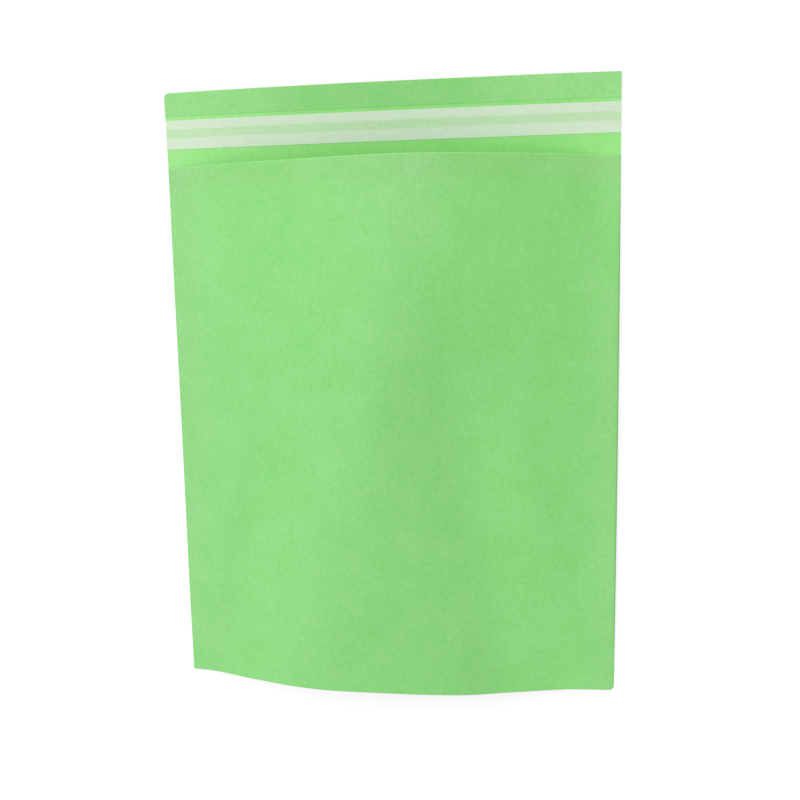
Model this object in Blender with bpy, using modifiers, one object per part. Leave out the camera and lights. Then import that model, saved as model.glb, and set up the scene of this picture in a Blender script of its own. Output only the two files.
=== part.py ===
"""A paper mailing bag lying on its back with its mouth a little open.

Units are metres. X runs across the bag, Y along it from the closed bottom edge to the top of the
flap, and Z up from the surface that it lies on. The origin is in the middle of its plan, on that
surface. The bag is one sheet of stiff paper: a front panel, a longer back panel whose end is the
flap, a hem folded over at the top of the flap, and laps folded round both sides and the bottom edge
and glued to the outside of the back. A line of adhesive runs across the flap under a release liner.
"""

import bpy
import numpy as np

# Plan sizes
WIDTH = 0.300
BOTTOM_WIDTH = 0.2944
LENGTH = 0.400
FLAP_DEPTH = 0.0494
MOUTH_SLANT = 0.0005

# Paper and folds
PAPER = 0.00025
HEM_DEPTH = 0.0155
HEM_GAP = 0.0001
SIDE_ROLL = 0.0012
EDGE_ROLL = 0.0004
LAP_SINK = 0.0000375
CORNER_CUT = 0.0014

# Adhesive line and its liner, measured down from the top of the flap
LINER_START = 0.0180
LINER_DEPTH = 0.0190
LINER_THICK = 0.00012
LINE_START = 0.0240
LINE_DEPTH = 0.0054
LINE_THICK = 0.00012
FILM_GAP = 0.0001

# Rise of the bulge at the bottom edge, in the middle and at the mouth, and of the curled flap, and the
# shape of each across the bag: pairs of a share of the half width and a share of the rise
BOTTOM_RISE = 0.0268
BOTTOM_ARCH = ((-1, 0), (-0.9, 0.075), (-0.72, 0.41), (-0.57, 0.668), (-0.44, 0.866), (-0.23, 1),
               (0.10, 0.963), (0.31, 0.858), (0.58, 0.44), (0.82, 0.09), (1, 0))
MIDDLE_RISE = 0.0298
MIDDLE_ARCH = ((-1, 0), (-0.93, 0.054), (-0.55, 0.487), (-0.20, 0.906), (-0.04, 1),
               (0.13, 0.899), (0.55, 0.403), (0.90, 0.054), (1, 0))
MOUTH_RISE = 0.0282
MOUTH_ARCH = ((-1, 0), (-0.90, 0.064), (-0.70, 0.383), (-0.38, 0.681), (-0.07, 0.957),
              (0.07, 1), (0.25, 0.929), (0.50, 0.645), (0.78, 0.234), (0.93, 0.028), (1, 0))
FLAP_RISE = 0.0070
FLAP_ARCH = ((-1, 0.086), (-0.65, 0.657), (-0.10, 1), (0.42, 0.80), (0.75, 0.571), (1, 0.086))
MIDDLE_UP = 0.193
LIFT_REACH = 0.158
FLAP_LIFT_FROM = 0.085
MOUTH_BOW = 0.0023
SIDE_LEAN = 0.0006

# Facets
ACROSS = 32
ALONG = 22
ROW_SPREAD = 1.25
FLAP_ROWS = 5
HEM_ROWS = 2
FOLD_STEPS = 4

BODY = LENGTH - FLAP_DEPTH
TOP = LENGTH / 2
BOTTOM = PAPER / 2 - LENGTH / 2
BASE = PAPER * 1.5 - LAP_SINK
COLLECTION = "paper_mailing_bag"


def curve_through(knots, at):
    """Monotone cubic through the knots: slopes are harmonic means of the neighbouring chords, and
    zero where the chords change sign."""
    x, y = np.array(knots, float).T
    chord = np.diff(y) / np.diff(x)
    before, after = chord[:-1], chord[1:]
    same = before * after > 0
    total = np.where(same, before + after, 1.0)
    inner = np.where(same, 2 * before * after / total, 0.0)
    slope = np.concatenate([[chord[0]], inner, [chord[-1]]])
    k = np.clip(np.searchsorted(x, at, side="right") - 1, 0, len(x) - 2)
    h = x[k + 1] - x[k]
    s = (at - x[k]) / h
    start = y[k] * (1 + 2 * s) * (1 - s) ** 2 + slope[k] * h * s * (1 - s) ** 2
    end = y[k + 1] * (3 - 2 * s) * s ** 2 - slope[k + 1] * h * (1 - s) * s ** 2
    return start + end


def ease(t):
    """Smooth step from 0 to 1 as t goes from 0 to 1."""
    t = np.clip(t, 0, 1)
    return t * t * (3 - 2 * t)


def half_width(y):
    """Half the width of the bag, which the arch draws in towards the bottom edge."""
    share = (y + LENGTH / 2) / LENGTH
    return (BOTTOM_WIDTH + (WIDTH - BOTTOM_WIDTH) * share) / 2


def lean(y):
    """Sideways bow of the whole bag, nothing at its two ends."""
    return SIDE_LEAN * np.sin(np.pi * np.clip(y / LENGTH + 0.5, 0, 1))


def roll(share):
    """Radius of the side folds along the body: flat at the bottom edge and at the mouth."""
    swell = ease(share / 0.2) * ease((1 - share) / 0.25)
    return EDGE_ROLL + (SIDE_ROLL - EDGE_ROLL) * swell


def front_height(u, share):
    """Height of the front panel: the bottom arch eases into the middle one, and that into the mouth's."""
    up = share * BODY
    low = ease(up / MIDDLE_UP)
    high = ease((up - MIDDLE_UP) / (BODY - MIDDLE_UP))
    bottom = BOTTOM_RISE * curve_through(BOTTOM_ARCH, u)
    middle = MIDDLE_RISE * curve_through(MIDDLE_ARCH, u)
    mouth = MOUTH_RISE * curve_through(MOUTH_ARCH, u)
    return bottom * (1 - low) + middle * (low - high) + mouth * high


def back_height(u, y):
    """Height of the back panel: lifted to the arch at the bottom edge, flat, then curling up a little
    towards the top of the flap."""
    lift = np.clip(1 - (y + LENGTH / 2) / LIFT_REACH, 0, 1) ** 2
    curl = np.clip((y - TOP + FLAP_LIFT_FROM) / FLAP_LIFT_FROM, 0, 1) ** 1.6
    return BOTTOM_RISE * curve_through(BOTTOM_ARCH, u) * lift + FLAP_RISE * curve_through(FLAP_ARCH, u) * curl


def grid_faces(rows, columns, start=0, turned=False):
    """Quads of a grid of points stored row by row, facing up unless turned."""
    r, c = np.meshgrid(np.arange(rows - 1), np.arange(columns - 1), indexing="ij")
    a = (start + r * columns + c).ravel()
    quads = np.stack([a, a + 1, a + columns + 1, a + columns], axis=1)
    return quads[:, ::-1] if turned else quads


def front_panel():
    """Grid of the front panel's mid-surface, from the bottom edge to the mouth."""
    u = np.linspace(-1, 1, ACROSS + 1)
    share = (np.arange(ALONG + 1) / ALONG) ** ROW_SPREAD
    u, share = np.meshgrid(u, share)
    radius = roll(share)
    bottom = BOTTOM + EDGE_ROLL
    mouth = TOP - FLAP_DEPTH - MOUTH_SLANT * u
    bow = MOUTH_BOW * curve_through(MOUTH_ARCH, u)
    y = bottom + (mouth - bottom) * share + bow * ease((share - 0.7) / 0.3)
    x = u * (half_width(y) - radius - PAPER / 2) + lean(y)
    z = BASE + 2 * radius + front_height(u, share)
    points = np.stack([x, y, z], axis=2)
    points[0, -1] += (-CORNER_CUT, CORNER_CUT, 0)
    return points


def back_panel():
    """Grid of the back panel, the flap, the fold at its top and the hem, as one run of paper."""
    u = np.linspace(-1, 1, ACROSS + 1)
    share = (np.arange(ALONG + 1) / ALONG) ** ROW_SPREAD
    bottom = BOTTOM + EDGE_ROLL
    fold = (PAPER + HEM_GAP) / 2
    mouth = TOP - FLAP_DEPTH
    crease = TOP - fold - PAPER / 2
    flap = mouth + (crease - mouth) * np.arange(1, FLAP_ROWS + 1) / FLAP_ROWS
    angle = np.pi * np.arange(1, FOLD_STEPS + 1) / FOLD_STEPS
    hem = crease - (HEM_DEPTH - fold) * np.arange(1, HEM_ROWS + 1) / HEM_ROWS
    body = bottom + (mouth - bottom) * share
    along = np.concatenate([body, flap, crease + fold * np.sin(angle), hem])
    above = np.concatenate([body * 0, flap * 0, fold * (1 - np.cos(angle)), hem * 0 + 2 * fold])
    inset = np.concatenate([roll(share) + PAPER / 2, np.zeros(len(along) - len(body))])
    u, y = np.meshgrid(u, along)
    x = u * (half_width(y) - inset[:, None]) + lean(y)
    z = BASE + back_height(u, np.minimum(y, crease)) + above[:, None]
    points = np.stack([x, y, z], axis=2)
    points[0, -1] += (-CORNER_CUT, CORNER_CUT, 0)
    return points


def rim_faces(front, back, start):
    """Half-round fold that joins the two panels down the left side, along the bottom and up the right:
    each pair of edge points carries an arc that bulges outwards."""
    rows, columns = front.shape[:2]
    left = [(r, 0) for r in range(rows - 1, 0, -1)]
    bottom = [(0, c) for c in range(columns)]
    right = [(r, columns - 1) for r in range(1, rows)]
    path = np.array(left + bottom + right)
    share = (np.arange(rows) / ALONG) ** ROW_SPREAD
    bulge = np.zeros((len(path), 3))
    bulge[:, 0] = np.select([path[:, 1] == 0, path[:, 1] == columns - 1], [-1, 1]) * roll(share[path[:, 0]])
    bulge[:, 1] = np.where(path[:, 0] == 0, -EDGE_ROLL, 0)
    top = front[path[:, 0], path[:, 1]]
    low = back[path[:, 0], path[:, 1]]
    angle = np.pi * (0.5 - np.arange(1, FOLD_STEPS) / FOLD_STEPS)
    arcs = ((top + low)[:, None] / 2 + (top - low)[:, None] / 2 * np.sin(angle)[None, :, None]
            + bulge[:, None] * np.cos(angle)[None, :, None])
    own = start + np.arange(len(path) * (FOLD_STEPS - 1)).reshape(len(path), -1)
    flat = path[:, 0] * columns + path[:, 1]
    index = np.concatenate([flat[:, None], own, flat[:, None] + rows * columns], axis=1)
    quads = np.stack([index[:-1, :-1], index[:-1, 1:], index[1:, 1:], index[1:, :-1]], axis=2)
    return arcs.reshape(-1, 3), quads.reshape(-1, 4)


def add_object(name, points, faces, thickness, material):
    """Object of an open surface, made a solid by a Solidify centred on it."""
    mesh = bpy.data.meshes.new(name)
    mesh.from_pydata(points.tolist(), [], faces.tolist())
    mesh.update()
    made = bpy.data.objects.new(name, mesh)
    made.data.materials.append(material)
    shell = made.modifiers.new("thickness", "SOLIDIFY")
    shell.thickness = thickness
    shell.offset = 0
    shell.use_even_offset = True
    return made


def add_material(name, colour, roughness):
    material = bpy.data.materials.new(name)
    material.use_nodes = True
    shader = material.node_tree.nodes["Principled BSDF"]
    shader.inputs["Base Color"].default_value = (*colour, 1)
    shader.inputs["Roughness"].default_value = roughness
    return material


def on_grid(grid, rows, columns):
    """Points of a grid at fractional rows and columns, which lie on its own quads."""
    rows, columns = np.meshgrid(rows, columns, indexing="ij")
    r = np.clip(np.floor(rows).astype(int), 0, grid.shape[0] - 2)
    c = np.clip(np.floor(columns).astype(int), 0, grid.shape[1] - 2)
    s, t = (rows - r)[..., None], (columns - c)[..., None]
    near = grid[r, c] * (1 - t) + grid[r, c + 1] * t
    far = grid[r + 1, c] * (1 - t) + grid[r + 1, c + 1] * t
    return near * (1 - s) + far * s


def lap_surface(back):
    """U-shaped run of the laps glued to the outside of the back: along both sides and the bottom."""
    rows = np.concatenate([[0.1, 1, 2.1], np.arange(3, ALONG), [ALONG - 0.35]])
    columns = np.concatenate([[0.06, 1, 2.1], np.arange(3, ACROSS - 2), [ACROSS - 2.1, ACROSS - 1, ACROSS - 0.06]])
    points = on_grid(back, rows, columns)
    points[..., 2] -= PAPER - LAP_SINK
    quads = grid_faces(len(rows), len(columns), turned=True)
    r, c = np.divmod(np.arange(len(quads)), len(columns) - 1)
    quads = quads[(r < 2) | (c < 2) | (c > len(columns) - 4)]
    used, index = np.unique(quads, return_inverse=True)
    return points.reshape(-1, 3)[used], index.reshape(quads.shape)


def strip_on_flap(back, start, depth, height):
    """Strip across the flap, parallel to its inner face, at this height over it."""
    crease = back[ALONG + FLAP_ROWS, 0, 1]
    mouth = TOP - FLAP_DEPTH
    y = np.array([TOP - start - depth, TOP - start - depth / 2, TOP - start])
    rows = ALONG + (y - mouth) / (crease - mouth) * FLAP_ROWS
    points = on_grid(back, rows, np.arange(ACROSS + 1))
    points[..., 1] = y[:, None]
    points[..., 2] += height
    return points.reshape(-1, 3), grid_faces(len(rows), ACROSS + 1)


def build_bag():
    front = front_panel()
    back = back_panel()
    count = front.shape[0] * front.shape[1]
    panels = np.concatenate([front.reshape(-1, 3), back.reshape(-1, 3)])
    arcs, rim = rim_faces(front, back, len(panels))
    faces = np.concatenate([
        grid_faces(*front.shape[:2]),
        grid_faces(*back.shape[:2], start=count, turned=True),
        rim,
    ])
    paper = add_material("green_paper", (0.28, 0.69, 0.23), 0.85)
    bag = add_object("paper_bag", np.concatenate([panels, arcs]), faces, PAPER, paper)
    laps = add_object("laps", *lap_surface(back), PAPER, paper)
    laps.hide_render = True
    laps.display_type = "WIRE"
    join = bag.modifiers.new("glued_laps", "BOOLEAN")
    join.operation = "UNION"
    join.solver = "EXACT"
    join.object = laps

    line_height = PAPER / 2 + FILM_GAP + LINE_THICK / 2
    line = add_object(
        "adhesive_line",
        *strip_on_flap(back, LINE_START, LINE_DEPTH, line_height),
        LINE_THICK,
        add_material("adhesive", (0.75, 0.80, 0.70), 0.35),
    )
    liner_height = line_height + LINE_THICK / 2 + FILM_GAP + LINER_THICK / 2
    liner = add_object(
        "release_liner",
        *strip_on_flap(back, LINER_START, LINER_DEPTH, liner_height),
        LINER_THICK,
        add_material("liner_film", (0.62, 0.78, 0.58), 0.5),
    )
    return [bag, line, liner], [laps]


def main():
    for old in list(bpy.data.objects):
        bpy.data.objects.remove(old, do_unlink=True)
    scene = bpy.context.scene.collection
    parts = bpy.data.collections.new(COLLECTION)
    helpers = bpy.data.collections.new("helpers")
    scene.children.link(parts)
    scene.children.link(helpers)
    pieces, guides = build_bag()
    for piece in pieces:
        parts.objects.link(piece)
    for guide in guides:
        helpers.objects.link(guide)


main()
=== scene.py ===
"""Dresses the paper mailing bag: the folded sheet, its glued laps, the hem at its mouth, the adhesive
line and the liner.

All lengths are in metres. X runs across the bag, Y towards the top of the flap, and Z up from the
surface that the bag lies on.
"""

import math

import bpy
import numpy as np
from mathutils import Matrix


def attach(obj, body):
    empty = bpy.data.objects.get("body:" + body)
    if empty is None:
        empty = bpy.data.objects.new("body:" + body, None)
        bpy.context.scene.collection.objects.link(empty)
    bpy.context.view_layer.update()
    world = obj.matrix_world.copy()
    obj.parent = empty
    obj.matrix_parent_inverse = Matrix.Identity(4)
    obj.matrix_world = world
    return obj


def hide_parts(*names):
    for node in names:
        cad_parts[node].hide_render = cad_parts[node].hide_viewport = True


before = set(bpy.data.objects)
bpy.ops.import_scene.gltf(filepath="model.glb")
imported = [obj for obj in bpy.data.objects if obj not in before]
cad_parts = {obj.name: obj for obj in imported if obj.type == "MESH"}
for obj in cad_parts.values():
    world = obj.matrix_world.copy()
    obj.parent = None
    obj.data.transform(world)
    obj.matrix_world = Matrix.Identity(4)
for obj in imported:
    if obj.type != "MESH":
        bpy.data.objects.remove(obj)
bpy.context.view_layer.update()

# Sizes shared with the solids
WIDTH = 0.300
BOTTOM_WIDTH = 0.2944
LENGTH = 0.400
FLAP_DEPTH = 0.0494
MOUTH_SLANT = 0.0005
HEM_DEPTH = 0.0155
SIDE_ROLL = 0.0012
LAP_WIDTH = 0.0195
LAP_DEPTH = 0.0185
LINER_START = 0.0180
LINER_DEPTH = 0.0190
LINE_START = 0.0240
LINE_DEPTH = 0.0054
SIDE_LEAN = 0.0006
MOUTH_BOW = 0.0023

# Finer here than in the solids: true thicknesses, and the small corners
PAPER = 0.00016
LAP_SINK = 0.00002
HEM_GAP = 0.00004
EDGE_ROLL = 0.00025
LINER_THICK = 0.00007
LINE_THICK = 0.00008
FILM_GAP = 0.00002
CORNER_RADIUS = 0.0027
FLAP_CORNER_RADIUS = 0.0034

# Hem turned in at the mouth: its depth, and how much narrower it is than the panel
MOUTH_HEM = 0.0155
MOUTH_HEM_SHARE = 0.985

# Rise of the bulge at the bottom edge, in the middle and at the mouth, and of the curled flap, and the
# shape of each across the bag: pairs of a share of the half width and a share of the rise
BOTTOM_RISE = 0.0268
BOTTOM_ARCH = ((-1, 0), (-0.9, 0.075), (-0.72, 0.41), (-0.57, 0.668), (-0.44, 0.866), (-0.23, 1),
               (0.10, 0.963), (0.31, 0.858), (0.58, 0.44), (0.82, 0.09), (1, 0))
MIDDLE_RISE = 0.0298
MIDDLE_ARCH = ((-1, 0), (-0.93, 0.054), (-0.55, 0.487), (-0.20, 0.906), (-0.04, 1),
               (0.13, 0.899), (0.55, 0.403), (0.90, 0.054), (1, 0))
MOUTH_RISE = 0.0282
MOUTH_ARCH = ((-1, 0), (-0.90, 0.064), (-0.70, 0.383), (-0.38, 0.681), (-0.07, 0.957),
              (0.07, 1), (0.25, 0.929), (0.50, 0.645), (0.78, 0.234), (0.93, 0.028), (1, 0))
FLAP_RISE = 0.0070
FLAP_ARCH = ((-1, 0.086), (-0.65, 0.657), (-0.10, 1), (0.42, 0.80), (0.75, 0.571), (1, 0.086))
MIDDLE_UP = 0.193
LIFT_REACH = 0.158
FLAP_LIFT_FROM = 0.085
FLAP_LIFT_POWER = 1.6

# Shares of the body's length: over which the side folds swell from the bottom edge and shrink to the
# mouth, and from which the front panel's edge bows out
SWELL_LOW = 0.20
SWELL_HIGH = 0.25
BOW_FROM = 0.7

# Faint buckling of the paper: a seed, the height, and the shortest and the longest wave. The waves run
# across the bag, with this scatter of their direction in radians. They fade over a share of the half
# width and of the body's length, and on the back panel they start shortly before the flap
FRONT_RIPPLE = (11, 0.00016, 0.035, 0.120)
BACK_RIPPLE = (23, 0.00012, 0.030, 0.110)
RIPPLE_SCATTER = 0.55
RIPPLE_FADE = 0.12
RIPPLE_BEFORE_FLAP = 0.020
RIPPLE_GROWTH = 0.050

# Grid steps, how far the columns and the rows crowd towards the edges, the power that spaces the flap's
# rows, and the angle in degrees past which an edge is sharp
ACROSS = 112
ALONG = 120
FLAP_ROWS = 22
HEM_ROWS = 12
FOLD_STEPS = 6
SIDE_CROWDING = 0.12
END_CROWDING = 0.10
FLAP_ROWS_POWER = 0.8
SHARP_ANGLE = 50

# Colours of the paper outside, on the front panel and inside, and of its flecks, then the two ends of
# the range of the cut edge, of the liner where it is dry and where the adhesive wets it, and of the glue
OUTSIDE_GREEN = (0.285, 0.712, 0.225)
FRONT_GREEN = (0.279, 0.712, 0.2295)
INSIDE_GREEN = (0.310, 0.800, 0.228)
OUTSIDE_FLECK = (0.42, 0.62, 0.31)
INSIDE_FLECK = (0.42, 0.71, 0.31)
EDGE_COLOURS = ((0.36, 0.74, 0.29), (0.47, 0.83, 0.40))
DRY_COLOURS = ((0.625, 0.785, 0.580), (0.685, 0.835, 0.635))
WET_COLOURS = ((0.480, 0.755, 0.415), (0.585, 0.805, 0.500))
GLUE_COLOURS = ((0.50, 0.72, 0.42), (0.66, 0.80, 0.58))

# What thin and dense places, light from the table and a painted highlight on the mouth's edge multiply the
# paper's colour by, how much of a fleck shows, and the values in the sheet's own map between which that
# highlight grows
THIN_TONE = (0.86, 0.955, 0.84)
DENSE_TONE = (1.14, 1.045, 1.16)
SHINE_TONE = (1.16, 1.06, 1.19)
MOUTH_EDGE_HIGHLIGHT_TONE = (1.12, 1.15, 1.13)
FLECK_SHARE = 0.30
MOUTH_EDGE_HIGHLIGHT_MARK = (0.05, 0.75)

# Light from the white table through the paper, on the left and the right of the back panel and on the
# flap's hem: the share of the half width at which it starts, and the share over which it grows. It comes
# in over a length below the mouth. The sheet's own map holds its share past the number of a layer
SHINE_LEFT = (0.30, 0.45)
SHINE_RIGHT = (0.70, 0.50)
SHINE_HEM = (0.30, 0.45)
SHINE_FADE = 0.030
PANEL_LAYER = 0
HEM_LAYER = 1

# Grain in cells to a metre, along each axis where it is stretched, and the angle of the fibres in radians
CLOUDS = 330
BROAD_CLOUDS = 38
FIBRES = (1500, 260, 800)
FIBRES_TURN = 0.5
CROSSING = (300, 1400, 800)
CROSSING_TURN = 0.35
FLECKS = 520
TOOTH = 2600
PULP = 2200
LINER_CLOUDS = 300
LINE_WOBBLE = 90
BLOTCHES = 620
PUCKERS = (240, 900, 600)
LUMPS = 700

# Lines on the front panel between which its painted light and shade change: how far right of the middle
# each one runs at the mouth and at the foot, and over what distance to its side it is soft
CREASE_RUN = (0.036, -0.061)
CREASE_SOFT = 0.020
CREASE_REACH = 0.036
TURN_RUN = (0.029, 0.070)
TURN_SOFT = 0.016
BAND_RUN = (0.036, 0.127)
BAND_SOFT = 0.012
SIDE_CREASE_RUN = (-0.061, -0.127)
SIDE_CREASE_REACH = 0.014
HEM_SOFT = 0.0009

# Where the panel's painted sheen is strongest and where that ends: at the left and at the right side as
# places right of the middle, and at the mouth as distances from the middle of the sheen there
PALE_LEFT = (-0.149, -0.102)
PALE_RIGHT = (0.147, 0.105)
PALE_MIDDLE = 0.008
PALE_REACH = (0.010, 0.060)

# Fades along the front panel: the shares of the way from the mouth to the foot with none and with all of
# a painted light or shade, and how much of the left side's painted sheen is lost at the foot
UPPER_FADE = (0.50, 0.10)
WEDGE_FADE = (-0.10, 0.50)
BAND_FADE = (0.30, 0.60)
SIDE_CREASE_FADE = (0.42, 0.60)
MOUTH_FADE = (0.22, 0.04)
PALE_LEFT_LOSS = 0.6

# What each painted light, highlight, sheen and shade of the front panel multiplies red, green and blue by
HEM_BAND_SHADE_TONE = (1.030, 0.970, 1.000)
UPPER_LIGHT_TONE = (1.020, 1.028, 1.000)
RIGHT_SHADE_TONE = (0.975, 1.010, 0.950)
WEDGE_SHADE_TONE = (0.980, 0.950, 0.982)
BAND_LIGHT_TONE = (1.055, 1.052, 1.060)
CREASE_HIGHLIGHT_TONE = (1.030, 0.997, 1.038)
SIDE_CREASE_SHADE_TONE = (0.990, 0.965, 0.980)
MIDDLE_SHEEN_TONE = (1.075, 0.995, 1.085)
LEFT_SHEEN_TONE = (1.145, 0.995, 1.165)
RIGHT_SHEEN_TONE = (1.055, 0.978, 1.055)

# Camera and light, with angles in degrees
CAMERA_AT = (0.14323, 0.08979, 0.72196)
CAMERA_TURN = (-7.6376, 10.5954, -1.1438)
LENS = 50
NEAREST = 0.01
KEY_FROM = (-0.53, 0.45, 0.72)
KEY_STRENGTH = 1.50
KEY_SPREAD = 45
SKY_STRENGTH = 0.63
FLOOR_REACH = 4
FLOOR_COLOUR = 0.34
FLOOR_GLOW = 0.72
WHITE = (1, 1, 1)

BODY = LENGTH - FLAP_DEPTH
TOP = LENGTH / 2
BOTTOM = PAPER / 2 - LENGTH / 2
MOUTH = TOP - FLAP_DEPTH
BASE = PAPER * 1.5 - LAP_SINK


def curve_through(knots, at):
    """Monotone cubic through the knots: slopes are harmonic means of the neighbouring chords, and
    zero where the chords change sign."""
    x, y = np.array(knots, float).T
    chord = np.diff(y) / np.diff(x)
    before, after = chord[:-1], chord[1:]
    same = before * after > 0
    total = np.where(same, before + after, 1.0)
    inner = np.where(same, 2 * before * after / total, 0.0)
    slope = np.concatenate([[chord[0]], inner, [chord[-1]]])
    k = np.clip(np.searchsorted(x, at, side="right") - 1, 0, len(x) - 2)
    h = x[k + 1] - x[k]
    s = (at - x[k]) / h
    start = y[k] * (1 + 2 * s) * (1 - s) ** 2 + slope[k] * h * s * (1 - s) ** 2
    end = y[k + 1] * (3 - 2 * s) * s ** 2 - slope[k + 1] * h * (1 - s) * s ** 2
    return start + end


def ease(t):
    """Smooth step from 0 to 1 as t goes from 0 to 1."""
    t = np.clip(t, 0, 1)
    return t * t * (3 - 2 * t)


def half_width(y):
    """Half the width, growing evenly from the bottom edge to the top of the flap."""
    share = (y + LENGTH / 2) / LENGTH
    return (BOTTOM_WIDTH + (WIDTH - BOTTOM_WIDTH) * share) / 2


def lean(y):
    """Sideways bow: a half sine along the length."""
    return SIDE_LEAN * np.sin(np.pi * np.clip(y / LENGTH + 0.5, 0, 1))


def roll(share):
    """Radius of the side folds along the body: flat at the bottom edge and at the mouth."""
    swell = ease(share / SWELL_LOW) * ease((1 - share) / SWELL_HIGH)
    return EDGE_ROLL + (SIDE_ROLL - EDGE_ROLL) * swell


def ripple(u, y, seed, height, shortest, longest, waves=16):
    """Faint buckling of the paper: a sum of sine waves of seeded directions, lengths and phases,
    each as high as its length calls for, under a window that is zero at the sides."""
    draw = np.random.default_rng(seed)
    total = np.zeros(np.broadcast(u, y).shape)
    for _ in range(waves):
        length = draw.uniform(shortest, longest)
        turn = draw.normal(0, RIPPLE_SCATTER)
        phase = draw.uniform(0, 2 * math.pi)
        along = u * WIDTH / 2 * math.cos(turn) + y * math.sin(turn)
        total += length / longest * np.sin(2 * math.pi * along / length + phase)
    return height * total / math.sqrt(waves) * ease((1 - np.abs(u)) / RIPPLE_FADE)


def front_height(u, share):
    """Rise of the front panel over its side folds: the bottom arch eases into the middle one, and that
    into the mouth's."""
    up = share * BODY
    low = ease(up / MIDDLE_UP)
    high = ease((up - MIDDLE_UP) / (BODY - MIDDLE_UP))
    bottom = BOTTOM_RISE * curve_through(BOTTOM_ARCH, u)
    middle = MIDDLE_RISE * curve_through(MIDDLE_ARCH, u)
    mouth = MOUTH_RISE * curve_through(MOUTH_ARCH, u)
    return bottom * (1 - low) + middle * (low - high) + mouth * high


def back_height(u, y):
    """Height of the back panel: lifted to the arch at the bottom edge, flat, then curling up a little
    towards the top of the flap, where a faint ripple comes in."""
    lift = np.clip(1 - (y + LENGTH / 2) / LIFT_REACH, 0, 1) ** 2
    curl = np.clip((y - TOP + FLAP_LIFT_FROM) / FLAP_LIFT_FROM, 0, 1) ** FLAP_LIFT_POWER
    bottom = BOTTOM_RISE * curve_through(BOTTOM_ARCH, u)
    flap = FLAP_RISE * curve_through(FLAP_ARCH, u)
    near_flap = ease((y - MOUTH + RIPPLE_BEFORE_FLAP) / RIPPLE_GROWTH)
    return BASE + bottom * lift + flap * curl + ripple(u, y, *BACK_RIPPLE) * near_flap


def round_corner(points):
    """Rounds the lower right corner. A point in the square between the corner and the centre of its arc
    is drawn in along its ray from that centre, until it is as far away as the larger of its two offsets
    was, so that square rings become quarter circles."""
    corner = points[0, -1, :2].copy()
    centre = corner + (-CORNER_RADIUS, CORNER_RADIUS)
    away = points[..., :2] - centre
    share = np.clip(np.stack([away[..., 0], -away[..., 1]], axis=-1) / CORNER_RADIUS, 0, 1)
    length = np.sqrt((share ** 2).sum(axis=-1))
    shrink = np.divide(share.max(axis=-1), length, out=np.ones_like(length), where=length > 0)
    near = share.min(axis=-1) > 0
    points[..., :2] = np.where(near[..., None], centre + away * shrink[..., None], points[..., :2])
    return points


def top_left_inset(from_top):
    """How far the flap's left edge draws in near its top: radius less the leg of a right triangle, so
    that the corner is a quarter circle."""
    leg = np.clip(FLAP_CORNER_RADIUS - from_top, 0, FLAP_CORNER_RADIUS)
    return FLAP_CORNER_RADIUS - np.sqrt(FLAP_CORNER_RADIUS ** 2 - leg ** 2)


def grid_faces(rows, columns, start=0, turned=False):
    """Quads of a grid of points stored row by row, facing up unless turned."""
    r, c = np.meshgrid(np.arange(rows - 1), np.arange(columns - 1), indexing="ij")
    a = (start + r * columns + c).ravel()
    quads = np.stack([a, a + 1, a + columns + 1, a + columns], axis=1)
    return quads[:, ::-1] if turned else quads


def columns_across():
    """Shares of the half width, closer towards the sides: u = t + crowding * sin(pi t)."""
    t = np.linspace(-1, 1, ACROSS + 1)
    return t + SIDE_CROWDING * np.sin(np.pi * t)


def rows_along():
    """Shares of the body's length, closer towards both ends: v = t - crowding * sin(2 pi t)."""
    t = np.linspace(0, 1, ALONG + 1)
    return t - END_CROWDING * np.sin(2 * np.pi * t)


def front_surface(u, share):
    """The front panel's mid-surface over (u, v): x = u times the half width, y from the bottom edge to
    the bowed mouth, z = the blended arches and a faint ripple."""
    radius = roll(share)
    bottom = BOTTOM + EDGE_ROLL
    mouth = MOUTH - MOUTH_SLANT * u
    bow = MOUTH_BOW * curve_through(MOUTH_ARCH, u)
    y = bottom + (mouth - bottom) * share + bow * ease((share - BOW_FROM) / (1 - BOW_FROM))
    x = u * (half_width(y) - radius - PAPER / 2) + lean(y)
    z = BASE + 2 * radius + front_height(u, share)
    z += ripple(u, y, *FRONT_RIPPLE) * ease(share / RIPPLE_FADE)
    return np.stack([x, y, z], axis=2)


def front_panel():
    """The whole front panel, with its lower right corner rounded."""
    return round_corner(front_surface(*np.meshgrid(columns_across(), rows_along())))


def mouth_hem(rows=8):
    """The hem turned in at the mouth: the front panel's formula for its last rows, a little narrower,
    and lower by a thickness of paper and a gap."""
    share = np.linspace(1 - MOUTH_HEM / BODY, 1 - EDGE_ROLL / BODY, rows + 1)
    points = front_surface(*np.meshgrid(columns_across() * MOUTH_HEM_SHARE, share))
    points[..., 2] -= PAPER + HEM_GAP
    return points


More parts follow.
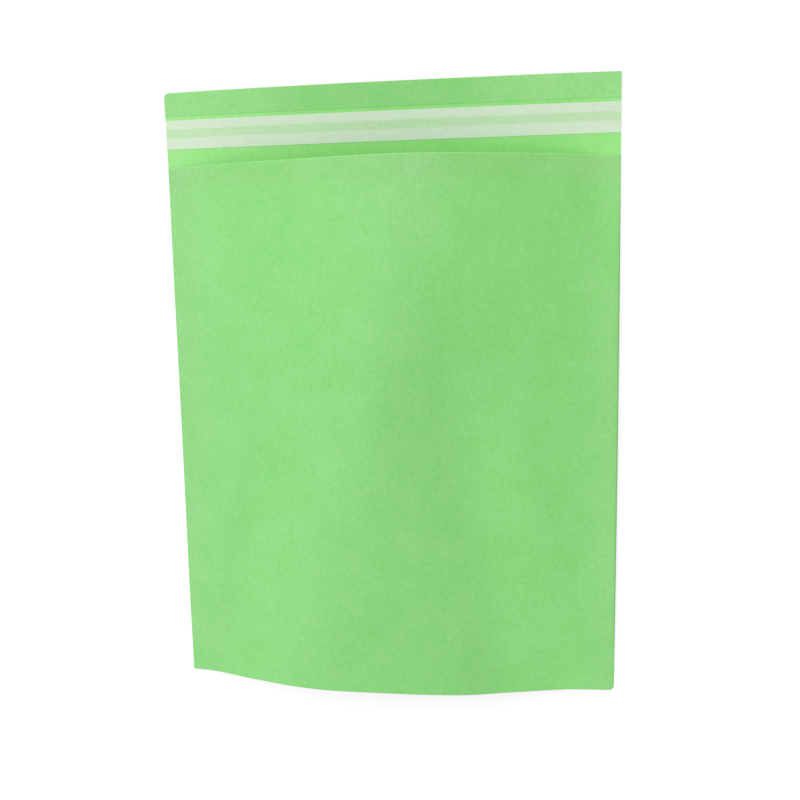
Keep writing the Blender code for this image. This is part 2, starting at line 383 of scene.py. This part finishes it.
def back_panel():
    """The back panel, the flap, the half-round fold at its top and the hem as one surface over
    (u, length of paper): after the crease, y turns back and z rises by the fold's height."""
    share = rows_along()
    bottom = BOTTOM + EDGE_ROLL
    fold = (PAPER + HEM_GAP) / 2
    crease = TOP - fold - PAPER / 2
    rising = np.arange(1, FLAP_ROWS + 1) / FLAP_ROWS
    flap = MOUTH + (crease - MOUTH) * ease(rising) ** FLAP_ROWS_POWER
    angle = np.pi * np.arange(1, FOLD_STEPS + 1) / FOLD_STEPS
    hem = crease - (HEM_DEPTH - fold) * (np.arange(1, HEM_ROWS + 1) / HEM_ROWS) ** 2
    body = bottom + (MOUTH - bottom) * share
    along = np.concatenate([body, flap, crease + fold * np.sin(angle), hem])
    above = np.concatenate([body * 0, flap * 0, fold * (1 - np.cos(angle)), hem * 0 + 2 * fold])
    inset = np.concatenate([roll(share) + PAPER / 2, np.zeros(len(along) - len(body))])
    u, y = np.meshgrid(columns_across(), along)
    corner = np.where(u < 0, top_left_inset(TOP - y), 0)
    x = u * (half_width(y) - inset[:, None] - corner) + lean(y)
    z = back_height(u, np.minimum(y, crease)) + above[:, None]
    return round_corner(np.stack([x, y, z], axis=2))


def rim(front, back, start):
    """Half-round fold down the left side, along the bottom and up the right: each pair of edge points
    carries the arc middle + half the drop * sin(a) + bulge * cos(a)."""
    rows, columns = front.shape[:2]
    left = [(r, 0) for r in range(rows - 1, 0, -1)]
    bottom = [(0, c) for c in range(columns)]
    right = [(r, columns - 1) for r in range(1, rows)]
    path = np.array(left + bottom + right)
    share = rows_along()
    top = front[path[:, 0], path[:, 1]]
    low = back[path[:, 0], path[:, 1]]
    run = np.gradient(top[:, :2], axis=0)
    outward = np.stack([run[:, 1], -run[:, 0]], axis=1)
    outward /= np.linalg.norm(outward, axis=1)[:, None]
    reach = np.where(path[:, 0] == 0, EDGE_ROLL, roll(share[path[:, 0]]))
    bulge = np.concatenate([outward * reach[:, None], np.zeros((len(path), 1))], axis=1)
    angle = np.pi * (0.5 - np.arange(1, FOLD_STEPS) / FOLD_STEPS)
    arcs = ((top + low)[:, None] / 2 + (top - low)[:, None] / 2 * np.sin(angle)[None, :, None]
            + bulge[:, None] * np.cos(angle)[None, :, None])
    own = start + np.arange(len(path) * (FOLD_STEPS - 1)).reshape(len(path), -1)
    flat = path[:, 0] * columns + path[:, 1]
    index = np.concatenate([flat[:, None], own, flat[:, None] + rows * columns], axis=1)
    quads = np.stack([index[:-1, :-1], index[:-1, 1:], index[1:, 1:], index[1:, :-1]], axis=2)
    return arcs.reshape(-1, 3), quads.reshape(-1, 4)


def sheet_surface(front, back):
    """The folded sheet as one surface: the front panel, the back panel with flap and hem, and the folds
    between them, in this order."""
    panels = np.concatenate([front.reshape(-1, 3), back.reshape(-1, 3)])
    arcs, folds = rim(front, back, len(panels))
    faces = np.concatenate([
        grid_faces(*front.shape[:2]),
        grid_faces(*back.shape[:2], start=front[..., 0].size, turned=True),
        folds,
    ])
    return np.concatenate([panels, arcs]), faces


def shine(u, start, reach):
    """Share of the table's light that comes through: none up to a start, and all of it a reach on."""
    return ease((u - start) / reach)


def sheet_marks(points, front_count, panels_count):
    """The sheet's own map. Its first coordinate is the table's light, from the panel's number on over
    the back panel and the flap, and from the hem's number on over the flap's hem. Its second is 1 at
    the front panel's edge of the mouth, where a highlight is painted."""
    row = ACROSS + 1
    u, y = points[:, 0] * 2 / WIDTH, points[:, 1]
    marks = np.zeros((len(points), 2))
    back = slice(front_count, panels_count)
    hem = slice(front_count + (ALONG + 1 + FLAP_ROWS + FOLD_STEPS // 2) * row, panels_count)
    across = np.where(u < 0, shine(-u, *SHINE_LEFT), shine(u, *SHINE_RIGHT))
    marks[back, 0] = (PANEL_LAYER + across * ease((y - MOUTH) / SHINE_FADE + 1))[back]
    marks[hem, 0] = HEM_LAYER + shine(np.abs(u[hem]), *SHINE_HEM)
    marks[ALONG * row:front_count, 1] = 1
    return marks


def strip_on_flap(start, depth, height, rows=6):
    """Strip across the flap, parallel to its inner face: the back panel's formula at these distances
    from the top, raised by a height."""
    u, down = np.meshgrid(columns_across(), np.linspace(start + depth, start, rows + 1))
    y = TOP - down
    return np.stack([u * half_width(y) + lean(y), y, back_height(u, y) + height], axis=2)


def lap_surfaces(back):
    """The laps glued to the outside of the back, as one U-shaped run of its own grid, lowered by a
    thickness of paper less what the glue takes up."""
    body = back[:ALONG + 1].copy()
    body[..., 2] -= PAPER - LAP_SINK
    rows, columns = body.shape[:2]
    quads = grid_faces(rows, columns, turned=True)
    r, c = np.divmod(np.arange(len(quads)), columns - 1)
    side = np.abs(columns_across()[c] + columns_across()[c + 1]) / 2 > 1 - LAP_WIDTH * 2 / WIDTH
    foot = body[r, c, 1] + LENGTH / 2 < LAP_DEPTH
    # The laps start one cell inside the folds, and end two rows before the mouth
    outermost = (r == 0) | (c == 0) | (c == columns - 2) | (r >= rows - 3)
    quads = quads[(side | foot) & ~outermost]
    used, index = np.unique(quads, return_inverse=True)
    return body.reshape(-1, 3)[used], index.reshape(quads.shape)


def mesh_object(name, points, faces, materials, thickness, uv=None, kinds=None):
    """Object of an open surface with a wall: Solidify centred on the surface. With one material it is
    the same all round. With more, each face's kind is the first of its three: those of the face, of its
    far side and of the cut edge. The wall is then settled into the mesh, so that its cut edges can be
    sharp between smooth faces."""
    mesh = bpy.data.meshes.new(name)
    mesh.from_pydata(points.reshape(-1, 3).tolist(), [], faces.tolist())
    mesh.update()
    mesh.shade_smooth()
    if uv is not None:
        layer = mesh.uv_layers.new(name="UVMap")
        corner = np.empty(len(mesh.loops), np.int32)
        mesh.loops.foreach_get("vertex_index", corner)
        layer.data.foreach_set("uv", uv.reshape(-1, 2)[corner].astype(np.float32).ravel())
    made = bpy.data.objects.new(name, mesh)
    bpy.context.scene.collection.objects.link(made)
    for material in materials:
        mesh.materials.append(material)
    if kinds is not None:
        mesh.polygons.foreach_set("material_index", kinds.astype(np.int32))
    shell = made.modifiers.new("wall", "SOLIDIFY")
    shell.thickness = thickness
    shell.offset = 0
    shell.use_even_offset = True
    if len(materials) > 1:
        shell.material_offset = 1
        shell.material_offset_rim = 2
    graph = bpy.context.evaluated_depsgraph_get()
    made.data = bpy.data.meshes.new_from_object(made.evaluated_get(graph))
    made.modifiers.clear()
    made.data.set_sharp_from_angle(angle=math.radians(SHARP_ANGLE))
    return made


class Value:
    """A socket that takes part in Python arithmetic: each operation adds one Math node."""

    def __init__(self, nodes, socket):
        self.nodes = nodes
        self.socket = socket

    def _math(self, operation, *values, clamp=False):
        settings = {"operation": operation, "use_clamp": clamp}
        made = self.nodes.node("ShaderNodeMath", settings, dict(enumerate(values)))
        return Value(self.nodes, made.outputs[0])

    def __add__(self, other):
        return self._math("ADD", self, other)

    __radd__ = __add__

    def __mul__(self, other):
        return self._math("MULTIPLY", self, other)

    __rmul__ = __mul__

    def __sub__(self, other):
        return self._math("SUBTRACT", self, other)

    def __rsub__(self, other):
        return self._math("SUBTRACT", other, self)

    def between(self, low, high):
        """0 at low and before it, 1 at high and past it, a straight ramp between."""
        return self._math("MULTIPLY", self - low, 1 / (high - low), clamp=True)

    def eased(self):
        """Smooth step of a value from 0 to 1."""
        return self * self * (3 - 2 * self)

    def distance_to(self, centre):
        return self._math("ABSOLUTE", self - centre)


class Nodes:
    """The nodes of one material or sky, all added by one method."""

    def __init__(self, tree):
        self.tree = tree

    def node(self, kind, settings, sockets):
        """A node of this kind: its settings first, then the values or links of its sockets."""
        made = self.tree.nodes.new(kind)
        for key, value in settings.items():
            setattr(made, key, value)
        self.feed(made, sockets)
        return made

    def feed(self, node, sockets):
        """Gives these sockets of a node, by name or by number, their values or links."""
        for key, value in sockets.items():
            slot = node.inputs[key]
            if isinstance(value, Value):
                self.tree.links.new(value.socket, slot)
            elif isinstance(value, bpy.types.NodeSocket):
                self.tree.links.new(value, slot)
            elif slot.type == "RGBA":
                slot.default_value = (*value, 1)
            else:
                slot.default_value = value


class Finish(Nodes):
    """A material in the making. It reads its place in the object and the piece's own map."""

    def __init__(self, name, specular):
        self.material = bpy.data.materials.new(name)
        self.material.use_nodes = True
        super().__init__(self.material.node_tree)
        self.shader = self.tree.nodes["Principled BSDF"]
        self.feed(self.shader, {"Specular IOR Level": specular})
        coordinates = self.node("ShaderNodeTexCoord", {}, {})
        self.place = coordinates.outputs["Object"]
        self.own_map = coordinates.outputs["UV"]

    def noise(self, scale, detail, roughness, distortion=0.0, at=None):
        """Noise texture's value, centred on 0.5, at this many cells to a metre."""
        made = self.node("ShaderNodeTexNoise", {}, {
            "Vector": at or self.place, "Scale": scale, "Detail": detail, "Roughness": roughness,
            "Distortion": distortion})
        return Value(self, made.outputs["Fac"])

    def stretched(self, scale, turn=0.0):
        """Object coordinates scaled by axis, after a turn about Z."""
        sockets = {"Vector": self.place, "Scale": scale, "Rotation": (0, 0, turn)}
        return self.node("ShaderNodeMapping", {}, sockets).outputs["Vector"]

    def axes(self, vector):
        """The three coordinates of a vector. For the own map of a piece that has none they are 0."""
        made = self.node("ShaderNodeSeparateXYZ", {}, {"Vector": vector})
        return [Value(self, socket) for socket in made.outputs]

    def mix(self, share, first, second, blend="MIX"):
        """Colour between two colours or colour sockets, or the first multiplied by the second."""
        settings = {"data_type": "RGBA", "blend_type": blend}
        return self.node("ShaderNodeMix", settings, {0: share, 6: first, 7: second}).outputs[2]

    def colour(self, socket):
        self.feed(self.shader, {"Base Color": socket})

    def rough(self, value):
        self.feed(self.shader, {"Roughness": value})

    def bump(self, height, distance, strength):
        sockets = {"Height": height, "Distance": distance, "Strength": strength}
        made = self.node("ShaderNodeBump", {}, sockets)
        self.feed(self.shader, {"Normal": made.outputs["Normal"]})


def scaled(colour, by):
    """Colour with each channel multiplied by its factor."""
    return tuple(c * b for c, b in zip(colour, by))


def front_painted_shading(finish):
    """Painted light and shade of the front panel, each a share and what it multiplies the colour by. The
    upper part is painted lighter, and all right of a soft crease is painted in shade, deepest in a wedge
    that opens towards the foot, with painted light in a band to the right of it. The crease gets a painted
    highlight, and the middle of the mouth and both sides a painted sheen. A band below the mouth, as deep
    as the hem turned in, is painted darker as shade, and a faint crease near the left side as a line of
    painted shade."""
    x, y, _ = finish.axes(finish.place)
    down = (y * (-1 / BODY) + MOUTH / BODY).between(0, 1)
    arch = 1 - x * x * (2 / WIDTH) ** 2
    below_mouth = MOUTH + (arch * arch + arch) * (MOUTH_BOW / 2) - x * (MOUTH_SLANT * 2 / WIDTH) - y

    def line(run):
        at_mouth, at_foot = run
        return down * (at_foot - at_mouth) + at_mouth

    def right_of(run, soft):
        return (x - line(run)).between(-soft, soft).eased()

    def near(run, reach):
        return x.distance_to(line(run)).between(reach, 0).eased()

    def pale(place, full, none):
        return place.between(none, full).eased()

    crease = right_of(CREASE_RUN, CREASE_SOFT)
    turn = right_of(TURN_RUN, TURN_SOFT)
    band = right_of(BAND_RUN, BAND_SOFT)
    wedge = crease * (1 - turn) * down.between(*WEDGE_FADE).eased()
    beside = turn * (1 - band) * down.between(*BAND_FADE).eased()
    side_crease = near(SIDE_CREASE_RUN, SIDE_CREASE_REACH) * down.between(*SIDE_CREASE_FADE).eased()
    middle = pale(x.distance_to(PALE_MIDDLE), *PALE_REACH) * down.between(*MOUTH_FADE).eased()
    return [
        (below_mouth.between(MOUTH_HEM + HEM_SOFT, MOUTH_HEM - HEM_SOFT), HEM_BAND_SHADE_TONE),
        (down.between(*UPPER_FADE).eased(), UPPER_LIGHT_TONE),
        (crease, RIGHT_SHADE_TONE),
        (wedge, WEDGE_SHADE_TONE),
        (beside, BAND_LIGHT_TONE),
        (near(CREASE_RUN, CREASE_REACH), CREASE_HIGHLIGHT_TONE),
        (side_crease, SIDE_CREASE_SHADE_TONE),
        (middle, MIDDLE_SHEEN_TONE),
        (pale(x, *PALE_LEFT) * (1 - down * PALE_LEFT_LOSS), LEFT_SHEEN_TONE),
        (pale(x, *PALE_RIGHT), RIGHT_SHEEN_TONE),
    ]


def no_tones(finish):
    """Plain paper, as everywhere but on the front panel."""
    return []


def paper_finish(name, colour, fleck, layer, tones=no_tones):
    """Uncoated paper: clouds a few millimetres wide, short fibres in two directions, and sparse pinkish
    flecks, with a fine tooth in the surface. Thin places are greener and dense ones paler. Paper is
    also paler where the white table shines through, which the first coordinate of the piece's own map
    gives as this layer's number and a share. A highlight is painted on the mouth's edge, where the second
    is 1, and the painted light and shade given in tones multiply the colour last."""
    finish = Finish(name, specular=0.12)
    light, edge, _ = finish.axes(finish.own_map)
    lit_through = light.between(layer, layer + 1)
    # The front panel's edge of the mouth gets a painted highlight
    edge_highlight = edge.between(*MOUTH_EDGE_HIGHLIGHT_MARK)
    clouds = finish.noise(CLOUDS, detail=4, roughness=0.66)
    broad = finish.noise(BROAD_CLOUDS, detail=2, roughness=0.5)
    fibres, crossing = (
        finish.noise(1, detail=3, roughness=0.6, distortion=0.8, at=finish.stretched(scale, turn))
        for scale, turn in ((FIBRES, FIBRES_TURN), (CROSSING, CROSSING_TURN)))
    flecks = finish.noise(FLECKS, detail=2, roughness=0.5, distortion=0.6).between(0.60, 0.72)
    density = (clouds - 0.5) * 0.9 + (fibres - 0.5) * 0.55 + (crossing - 0.5) * 0.45 + (broad - 0.5) * 0.5
    shades = []
    for pulp in (scaled(colour, THIN_TONE), scaled(colour, DENSE_TONE), fleck):
        shade = finish.mix(lit_through, pulp, scaled(pulp, SHINE_TONE))
        shades.append(finish.mix(edge_highlight, shade, scaled(pulp, MOUTH_EDGE_HIGHLIGHT_TONE)))
    thin, dense, speck = shades
    base = finish.mix((density + 0.5).between(0.22, 0.78), thin, dense)
    base = finish.mix(flecks * FLECK_SHARE, base, speck)
    # Painted light and shade, on the front panel only, multiply the colour last
    for share, by in tones(finish):
        base = finish.mix(share, base, by, "MULTIPLY")
    finish.colour(base)
    finish.rough(0.80 + clouds * 0.12)
    tooth = finish.noise(TOOTH, detail=3, roughness=0.6)
    relief = clouds * 0.5 + fibres * 0.3 + crossing * 0.3 + tooth * 0.4
    finish.bump(relief, distance=0.00004, strength=0.55)
    return finish.material


def edge_finish():
    """Cut edge of the paper: the same pulp, lighter and open."""
    finish = Finish("cut_edge", specular=0.2)
    grain = finish.noise(PULP, detail=2, roughness=0.6)
    finish.colour(finish.mix(grain, *EDGE_COLOURS))
    finish.rough(0.9)
    return finish.material


def liner_finish():
    """Release liner: whitish and translucent over green paper, greener along the adhesive line, which
    wets it. The share of the way up the strip is the piece's own second map coordinate."""
    finish = Finish("liner_film", specular=0.45)
    _, up, _ = finish.axes(finish.own_map)
    clouds = finish.noise(LINER_CLOUDS, detail=4, roughness=0.6)
    wobble = (finish.noise(LINE_WOBBLE, detail=2, roughness=0.5) - 0.5) * 0.05
    line_middle = (LINER_START + LINER_DEPTH - LINE_START - LINE_DEPTH / 2) / LINER_DEPTH
    half = LINE_DEPTH / LINER_DEPTH / 2
    away = (up + wobble).distance_to(line_middle)
    wet = 1 - away.between(half - 0.025, half + 0.035)
    blotch = finish.noise(BLOTCHES, detail=3, roughness=0.6, distortion=0.5).between(0.35, 0.7)
    dry = finish.mix(clouds.between(0.3, 0.7), *DRY_COLOURS)
    damp = finish.mix(blotch, *WET_COLOURS)
    finish.colour(finish.mix(wet, dry, damp))
    finish.rough(0.40 + clouds * 0.12)
    pucker = finish.noise(1, detail=3, roughness=0.55, distortion=0.4, at=finish.stretched(PUCKERS))
    finish.bump(pucker + wet * 0.4, distance=0.00005, strength=0.6)
    return finish.material


def glue_finish():
    """Hot-melt adhesive: nearly clear, tacky and uneven."""
    finish = Finish("hot_melt", specular=0.6)
    lumps = finish.noise(LUMPS, detail=3, roughness=0.6, distortion=0.5)
    finish.colour(finish.mix(lumps, *GLUE_COLOURS))
    finish.rough(0.18 + lumps * 0.2)
    finish.bump(lumps, distance=0.00008, strength=0.8)
    return finish.material


def dress():
    """The sheet, its laps and the hem at its mouth as one node's pieces, then the two strips."""
    outside = paper_finish("paper_outside", OUTSIDE_GREEN, OUTSIDE_FLECK, HEM_LAYER)
    # The front panel's paper carries painted light and shade
    front_paper = paper_finish("paper_front", FRONT_GREEN, OUTSIDE_FLECK, HEM_LAYER, front_painted_shading)
    inside = paper_finish("paper_inside", INSIDE_GREEN, INSIDE_FLECK, PANEL_LAYER)
    cut = edge_finish()
    paper = [outside, inside, cut]

    front = front_panel()
    back = back_panel()
    points, faces = sheet_surface(front, back)
    front_count = front[..., 0].size
    marks = sheet_marks(points, front_count, front_count + back[..., 0].size)
    first_paper = [front_paper, inside, cut]
    kinds = np.where(np.arange(len(faces)) < ALONG * ACROSS, 0, len(first_paper))
    sheet = mesh_object("folded_sheet", points, faces, first_paper + paper, PAPER, marks, kinds)
    laps = mesh_object("glued_laps", *lap_surfaces(back), paper, PAPER)
    turned_in = mouth_hem()
    hem_faces = grid_faces(*turned_in.shape[:2], turned=True)
    hem_piece = mesh_object("mouth_hem", turned_in, hem_faces, paper, PAPER)
    for piece in (sheet, laps, hem_piece):
        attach(piece, "root")
        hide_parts("paper_bag")

    line_height = PAPER / 2 + FILM_GAP + LINE_THICK / 2
    strip = strip_on_flap(LINE_START, LINE_DEPTH, line_height)
    line = mesh_object("glue_line", strip, grid_faces(*strip.shape[:2]), [glue_finish()], LINE_THICK)
    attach(line, "root")
    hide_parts("adhesive_line")

    liner_height = line_height + LINE_THICK / 2 + FILM_GAP + LINER_THICK / 2
    strip = strip_on_flap(LINER_START, LINER_DEPTH, liner_height, rows=12)
    u, v = np.meshgrid(np.linspace(0, 1, strip.shape[1]), np.linspace(0, 1, strip.shape[0]))
    liner = mesh_object("liner_strip", strip, grid_faces(*strip.shape[:2]), [liner_finish()], LINER_THICK,
                        np.stack([u, v], axis=2))
    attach(liner, "root")
    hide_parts("release_liner")


def seen_directly(nodes):
    """1 for rays from the camera, and for rays that arrive by a mirror or through glass."""
    rays = nodes.node("ShaderNodeLightPath", {}, {}).outputs
    names = ("Is Camera Ray", "Is Glossy Ray", "Is Transmission Ray")
    camera, glossy, through = (Value(nodes, rays[name]) for name in names)
    return (camera + glossy + through).between(0, 1)


def set_stage():
    """White floor that keeps the bag's shadow, a white sky, and one broad lamp from the upper left."""
    mesh = bpy.data.meshes.new("floor")
    corners = [(x * FLOOR_REACH, y * FLOOR_REACH, 0) for x, y in ((-1, -1), (1, -1), (1, 1), (-1, 1))]
    mesh.from_pydata(corners, [], [(0, 1, 2, 3)])
    floor = bpy.data.objects.new("floor", mesh)
    bpy.context.scene.collection.objects.link(floor)
    paint = Finish("white_floor", specular=0)
    paint.colour((FLOOR_COLOUR,) * 3)
    paint.rough(1)
    glow = seen_directly(paint) * FLOOR_GLOW
    paint.feed(paint.shader, {"Emission Color": WHITE, "Emission Strength": glow})
    mesh.materials.append(paint.material)

    world = bpy.data.worlds.new("studio")
    bpy.context.scene.world = world
    world.use_nodes = True
    sky = Nodes(world.node_tree)
    strength = seen_directly(sky) * (1 - SKY_STRENGTH) + SKY_STRENGTH
    sky.feed(sky.tree.nodes["Background"], {"Color": WHITE, "Strength": strength})

    lamp = bpy.data.lights.new("key", "SUN")
    lamp.energy = KEY_STRENGTH
    lamp.angle = math.radians(KEY_SPREAD)
    key = bpy.data.objects.new("key", lamp)
    x, y, z = KEY_FROM
    key.rotation_euler = (0, math.atan2(math.hypot(x, y), z), math.atan2(y, x))
    bpy.context.scene.collection.objects.link(key)


def set_camera():
    data = bpy.data.cameras.new("camera")
    data.lens = LENS
    data.clip_start = NEAREST
    camera = bpy.data.objects.new("camera", data)
    camera.location = CAMERA_AT
    camera.rotation_euler = [math.radians(a) for a in CAMERA_TURN]
    bpy.context.scene.collection.objects.link(camera)
    bpy.context.scene.camera = camera


dress()
set_stage()
set_camera()
bpy.context.scene.view_settings.view_transform = "Standard"
